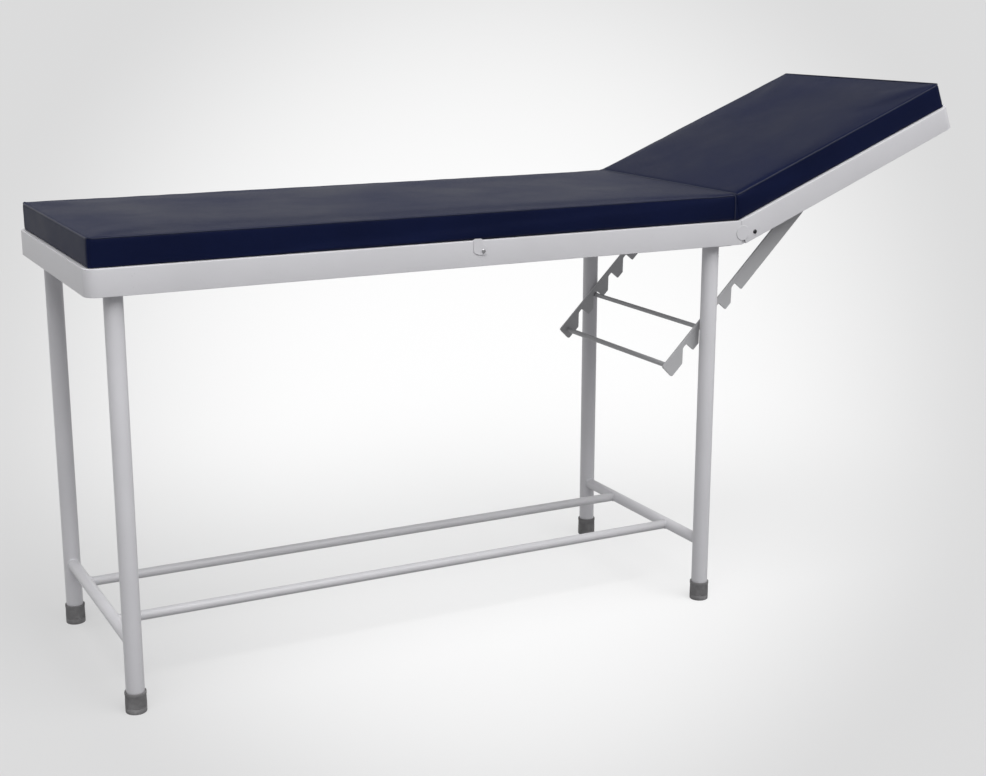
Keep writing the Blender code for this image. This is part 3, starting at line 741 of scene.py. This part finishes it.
def bar_end_welds(node, space, web):
    """Beads down both faces of a square bar's ends, against the rails' webs."""
    low, high = local_box(node, space)
    runs = []
    for side in (-1, 1):
        for x in (low.x, high.x):
            run = straight((x, side * web, low.z + 0.001), (x, side * web, high.z))
            runs.append(bead([space @ point for point in run], SMALL_BEAD, side + 9 * x))
        run = straight((low.x, side * web, low.z), (high.x, side * web, low.z))
        runs.append(bead([space @ point for point in run], SMALL_BEAD, side))
    return runs


def backrest_welds():
    """Beads at the ends of the arms' bar and along their lugs."""
    runs = bar_end_welds("arm_crossbar", BACK, HALF_WIDTH - RAIL_THICK)
    for word, _ in SIDES:
        low, high = local_box(f"arm_lug_{word}", BACK)
        for y in (low.y, high.y):
            run = straight((low.x, y, high.z), (high.x, y, high.z))
            runs.append(bead([BACK @ point for point in run], SMALL_BEAD, y))
    points, faces = joined(runs)
    piece("backrest_welds", points, faces, "white_paint", "backrest", smooth=80)


def arm_welds():
    """The tie rod's welds to the arms' inner faces."""
    centre, radius, half = round_node("tie_rod", Y_AXIS)
    runs = []
    for side in (-1, 1):
        at = centre + Vector((0, side * half, 0))
        runs.append(bead(ring_path(at, Y_AXIS, radius, 48), SMALL_BEAD, side, closed=True))
    points, faces = joined(runs)
    piece("arm_welds", points, faces, "arm_paint", "ratchet_arms", smooth=80)


# Pads


def spaced(start, stop, pitch, edge_steps):
    """Places from start to stop: close together within the first and last edge, then even."""
    turn = 1 if stop > start else -1
    length = abs(stop - start)
    ends = [offset for offset in edge_steps if offset < length / 2]
    span = length - 2 * ends[-1]
    count = max(1, round(span / pitch))
    places = ends[:-1] + [ends[-1] + span * k / count for k in range(count + 1)]
    places += [length - offset for offset in reversed(ends[:-1])]
    return [start + turn * place for place in places]


def rounded_off(points, low, high, radius):
    """Points of a box's surface drawn in so that its edges along the given axes are round."""
    core = np.clip(points, low + radius, high - radius)
    off = points - core
    size = np.abs(off).max(axis=1, keepdims=True)
    length = np.linalg.norm(off, axis=1, keepdims=True)
    return core + off * np.where(length > 0, size / np.maximum(length, 1e-9), 1.0)


def box_grid(xs, ys, zs):
    """Surface lattice of a box: points, quads, and each point's place in the lattice."""
    counts = (len(xs), len(ys), len(zs))
    index = {}
    points = []

    def at(*key):
        if key not in index:
            index[key] = len(points)
            points.append((xs[key[0]], ys[key[1]], zs[key[2]]))
        return index[key]

    faces = []
    for axis in range(3):
        first, second = [a for a in range(3) if a != axis]
        for level in (0, counts[axis] - 1):
            for i in range(counts[first] - 1):
                for j in range(counts[second] - 1):
                    corners = []
                    for di, dj in ((0, 0), (1, 0), (1, 1), (0, 1)):
                        key = [0, 0, 0]
                        key[axis], key[first], key[second] = level, i + di, j + dj
                        corners.append(at(*key))
                    faces.append(tuple(corners))
    keys = sorted(index, key=index.get)
    return np.array(points), faces, np.array(keys)


def pad_shape(low, high, turn):
    """The pad before it is stuffed, in its section's flat coordinates, mitred at the hinge."""
    free_end = low.x if turn < 0 else high.x
    xs = spaced(free_end, 0.0, PAD_PITCH, EDGE_STEPS)
    ys = spaced(low.y, high.y, PAD_PITCH, EDGE_STEPS)
    zs = spaced(low.z, high.z, SIDE_PITCH, EDGE_STEPS[:5])
    points, faces, keys = box_grid(xs, ys, zs)
    near_free = np.abs(points[:, 0] - free_end) < abs(free_end) / 2
    box_low = np.array([min(free_end, 0.0), low.y, low.z])
    box_high = np.array([max(free_end, 0.0), high.y, high.z])
    plan = rounded_off(points[:, :2], box_low[:2], box_high[:2], PAD_CORNER)
    points[near_free, :2] = plan[near_free]
    beyond = np.array([turn * (PAD_EDGE - FOLD_EDGE), 0.0, 0.0])
    box_low, box_high = (box_low, box_high - beyond) if turn < 0 else (box_low - beyond, box_high)
    points = rounded_off(points, box_low, box_high, PAD_EDGE)
    closeness = np.clip(1 - np.abs(points[:, 0]) / MITRE_REACH, 0, 1)
    points[:, 0] += turn * (FOLD_TUCK + points[:, 2] * HALF_FOLD) * closeness
    return points, faces, keys, (len(xs), len(ys), len(zs))


def stuffed(name, points, faces, held):
    """The pad's points after cloth simulation under pressure; held points stay where they are."""
    mesh = bpy.data.meshes.new(name)
    mesh.from_pydata(points.tolist(), [], faces)
    obj = bpy.data.objects.new(name, mesh)
    bpy.context.scene.collection.objects.link(obj)
    pins = obj.vertex_groups.new(name="pins")
    pins.add([int(i) for i in np.flatnonzero(held)], 1.0, "REPLACE")
    work = bmesh.new()
    work.from_mesh(mesh)
    bmesh.ops.recalc_face_normals(work, faces=work.faces)
    work.to_mesh(mesh)
    work.free()
    cloth = obj.modifiers.new("cloth", "CLOTH")
    settings = cloth.settings
    settings.quality = 6
    settings.mass = 0.35
    settings.tension_stiffness = 30
    settings.compression_stiffness = 30
    settings.bending_stiffness = 2.5
    settings.use_pressure = True
    settings.uniform_pressure_force = CLOTH_PRESSURE
    settings.vertex_group_mass = "pins"
    settings.effector_weights.gravity = 0
    scene = bpy.context.scene
    for number in range(1, CLOTH_FRAMES + 1):
        scene.frame_set(number)
    graph = bpy.context.evaluated_depsgraph_get()
    settled = obj.evaluated_get(graph).to_mesh()
    result = np.array([vertex.co for vertex in settled.vertices])
    scene.frame_set(1)
    bpy.data.objects.remove(obj, do_unlink=True)
    return result


def puckers(points, normals, seam_distance):
    """Small gathers of the cover that fade away from its seams."""
    heights = np.array([
        noise.noise(Vector(point) * 38) + 0.5 * noise.noise(Vector(point) * 95) for point in points
    ])
    return normals * (heights * GATHERS * np.exp(-seam_distance / GATHER_REACH))[:, None]


def pad(name, node, space, turn, body):
    """An upholstered pad: foam under a stretched cover, crowned between its welted edges."""
    low, high = local_box(node, space)
    tuck = Vector((PAD_TUCK, PAD_TUCK, 0))
    low, high = low + tuck, high - tuck + Vector((0, 0, PAD_RISE))
    if turn > 0:
        high.x += HEAD_REACH
    points, faces, keys, counts = pad_shape(low, high, turn)
    bottom = keys[:, 2] <= 1
    fold_face = keys[:, 0] >= counts[0] - 2
    moved = stuffed(name + "_sim", points, faces, bottom | fold_face) - points
    length = np.linalg.norm(moved, axis=1, keepdims=True)
    cap = np.where(keys[:, 2:] == counts[2] - 1, CROWN, CROWN * SIDE_CROWN)
    points = points + moved * (cap * np.tanh(length / cap) / np.maximum(length, 1e-9))
    mesh = bpy.data.meshes.new(name)
    mesh.from_pydata(points.tolist(), [], faces)
    work = bmesh.new()
    work.from_mesh(mesh)
    bmesh.ops.recalc_face_normals(work, faces=work.faces)
    work.to_mesh(mesh)
    work.free()
    normals = np.array([vertex.normal for vertex in mesh.vertices])
    free_end = low.x if turn < 0 else high.x
    inset = [points[:, 1] - low.y, high.y - points[:, 1], np.abs(points[:, 0] - free_end)]
    seam_distance = np.maximum(np.min(inset, axis=0), 0.0) + np.maximum(high.z - points[:, 2], 0.0)
    free = ~(bottom | fold_face)
    points = points + puckers(points, normals, seam_distance) * free[:, None]
    fold = turn * (FOLD_TUCK + points[:, 2] * HALF_FOLD)
    points[:, 0] = np.maximum(points[:, 0], fold) if turn > 0 else np.minimum(points[:, 0], fold)
    mesh.vertices.foreach_set("co", points.astype(np.float32).ravel())
    mesh.transform(space)
    obj = bpy.data.objects.new(name, mesh)
    smooth = obj.modifiers.new("smooth", "SUBSURF")
    smooth.levels = smooth.render_levels = 1
    dressed(obj, "navy_vinyl", body, [node], smooth=180)
    welts(name, obj, low, high, turn, space, body)


def welts(name, cover, low, high, turn, space, body):
    """The cover's piped seams: round the top, and on the main pad down each side by the hinge."""
    bpy.context.view_layer.update()
    graph = bpy.context.evaluated_depsgraph_get()
    tree = BVHTree.FromObject(cover, graph)
    free_end = low.x if turn < 0 else high.x
    inset = PAD_EDGE * (1 - sqrt(0.5))
    corner = PAD_CORNER
    z = high.z - inset

    def fold_x(z):
        return turn * (FOLD_TUCK + 1.5 * WELT_RADIUS + z * HALF_FOLD)

    near, far = low.y + inset, high.y - inset
    end = free_end + turn * -inset
    around = [Vector((fold_x(z), near, z))]
    around += straight(around[0], (end - turn * corner, near, z), 0.006)[1:]
    for side in (-1, 1):
        centre = Vector((end - turn * corner, (near + corner) if side < 0 else (far - corner), z))
        for step in range(9):
            angle = pi / 2 * (step / 8 if side < 0 else 1 - step / 8)
            around.append(centre + corner * Vector((turn * sin(angle), side * cos(angle), 0)))
    around += straight(around[-1], (fold_x(z), far, z), 0.006)[1:]
    around += straight(around[-1], around[0], 0.006)[1:-1]
    lines = [(around, True)]
    if space is MAIN:
        x = fold_x(high.z)
        for y in (near, far):
            lines.append((straight((x, y, z), (x, y, low.z + 0.003), 0.004), False))
    parts = []
    for line, closed in lines:
        rings = seam_rings([space @ point for point in line], tree, closed)
        parts.append(swept(rings, loop=closed))
    points, faces = joined(parts)
    # the welts take a lighter, glossier copy of the vinyl: a painted highlight along the edges
    piece(f"{name}_welts", points, faces, "navy_vinyl", body, smooth=80, look="navy_piping_painted_highlight")


def seam_rings(line, tree, closed, sides=8):
    """Rings of a thin cord laid along the cover's surface, slightly sunk into it."""
    laid = []
    for point in line:
        place, normal, _, _ = tree.find_nearest(point)
        laid.append(place + normal * WELT_RADIUS * 0.35)
    count = len(laid)
    rings = []
    side = None
    for index, point in enumerate(laid):
        before = laid[index - 1] if closed or index else point
        after = laid[(index + 1) % count] if closed or index < count - 1 else point
        tangent = (after - before).normalized()
        side = tangent.orthogonal() if side is None else side
        side = (side - tangent * side.dot(tangent)).normalized()
        up = tangent.cross(side)
        rings.append([
            point + WELT_RADIUS * (cos(a) * side + sin(a) * up)
            for a in (2 * pi * k / sides for k in range(sides))
        ])
    return rings


# Stage


def cyclorama():
    """A pale floor curving up into a wall all round, with a painted pool of light behind the couch.

    Near the couch part of its tone is real diffuse light, so that soft shadows fall there; the
    rest is its own glow. It leaves no light on the couch: the dome does that.
    """
    profile = [(0.0, 0.0)] + [(0.25 * k, 0.0) for k in range(1, int(FLOOR_RADIUS * 4) + 1)]
    for step in range(1, 25):
        angle = pi / 2 * step / 24
        profile.append((FLOOR_RADIUS + COVE * sin(angle), COVE * (1 - cos(angle))))
    profile.append((FLOOR_RADIUS + COVE, WALL_HEIGHT))
    sides = 96
    points = [Vector((0, 0, 0))]
    for radius, height in profile[1:]:
        for step in range(sides):
            angle = 2 * pi * step / sides
            points.append(Vector((radius * cos(angle), radius * sin(angle), height)))
    faces = [(0, 1 + step, 1 + (step + 1) % sides) for step in range(sides)]
    for ring in range(len(profile) - 2):
        here, there = 1 + ring * sides, 1 + (ring + 1) * sides
        for step in range(sides):
            after = (step + 1) % sides
            faces.append((here + step, there + step, there + after, here + after))
    mesh = bpy.data.meshes.new("cyclorama")
    mesh.from_pydata([tuple(point) for point in points], [], faces)
    mesh.shade_smooth()
    obj = bpy.data.objects.new("cyclorama", mesh)
    bpy.context.scene.collection.objects.link(obj)
    made, tree, shader, place = surface("cyclorama", (0.8, 0.8, 0.8), 1.0, specular=0.0)
    # painted pool of light: the tone is whitest within a cone seen from one fixed place
    way = vectors(tree, "NORMALIZE", vectors(tree, "SUBTRACT", place, tuple(POOL_FROM)))
    along = vectors(tree, "DOT_PRODUCT", way, tuple(POOL_AIM))
    fade = between(tree, along, 0.0, 1.0, 1.0, POOL_RIM, smooth=True)
    tone = tinted(tree, fade, POOL_WHITE, STAGE_GREY)
    reach = vectors(tree, "LENGTH", place)
    share = between(tree, reach, SHADOW_SHARE, 0.0, 2.0, FLOOR_RADIUS, smooth=True)
    lit = vectors(tree, "SCALE", tone, _3=maths(tree, "DIVIDE", share, FLOOR_LIGHT))
    tree.links.new(lit, shader.inputs["Base Color"])
    tree.links.new(tone, shader.inputs["Emission Color"])
    tree.links.new(maths(tree, "SUBTRACT", 1.0, share), shader.inputs["Emission Strength"])
    mesh.materials.append(made)
    obj.visible_diffuse = obj.visible_glossy = obj.visible_shadow = False


def light():
    """A soft light high in front, in a dome that is bright behind the couch and dim overhead."""
    lamp = bpy.data.lights.new("overhead", "SUN")
    lamp.energy = SUN_STRENGTH
    lamp.angle = SUN_WIDTH
    obj = bpy.data.objects.new("overhead", lamp)
    bpy.context.scene.collection.objects.link(obj)
    obj.rotation_euler = SUN_AIM.to_track_quat("-Z", "Y").to_euler()
    world = bpy.data.worlds.new("dome")
    bpy.context.scene.world = world
    world.use_nodes = True
    tree = world.node_tree
    place = tree.nodes.new("ShaderNodeTexCoord").outputs["Generated"]
    way = linked(tree, "ShaderNodeSeparateXYZ", Vector=place)
    rearward = between(tree, way.outputs["Y"], 0.0, 1.0, -0.5, 0.7)
    level = tinted(tree, rearward, DOME_FRONT, DOME_REAR)
    above = between(tree, way.outputs["Z"], 1.0, DOME_OVERHEAD, 0.5, 0.9)
    below = between(tree, way.outputs["Z"], DOME_UNDER, 1.0, -0.35, 0.05)
    background = tree.nodes["Background"]
    tree.links.new(level, background.inputs["Color"])
    tree.links.new(maths(tree, "MULTIPLY", above, below), background.inputs["Strength"])


def camera():
    """A camera that stands off the foot end's near corner and looks down along the couch."""
    lens = bpy.data.cameras.new("camera")
    lens.sensor_width = SENSOR_WIDTH
    lens.lens = CAMERA_LENS
    obj = bpy.data.objects.new("camera", lens)
    bpy.context.scene.collection.objects.link(obj)
    roll = Matrix.Rotation(CAMERA_ROLL, 4, "Z").to_quaternion()
    obj.rotation_euler = (CAMERA_AIM.to_track_quat("-Z", "Y") @ roll).to_euler()
    obj.location = CAMERA_PLACE
    bpy.context.scene.camera = obj


bpy.context.scene.view_settings.view_transform = "Standard"
camera()
light()
cyclorama()
section_frames()
legs()
stretchers()
plates_and_bars()
clips()
hinge_covers()
frame_welds()
backrest_welds()
arm_welds()
pad("main_pad_cover", "main_pad", MAIN, -1, "root")
pad("backrest_pad_cover", "backrest_pad", BACK, 1, "backrest")
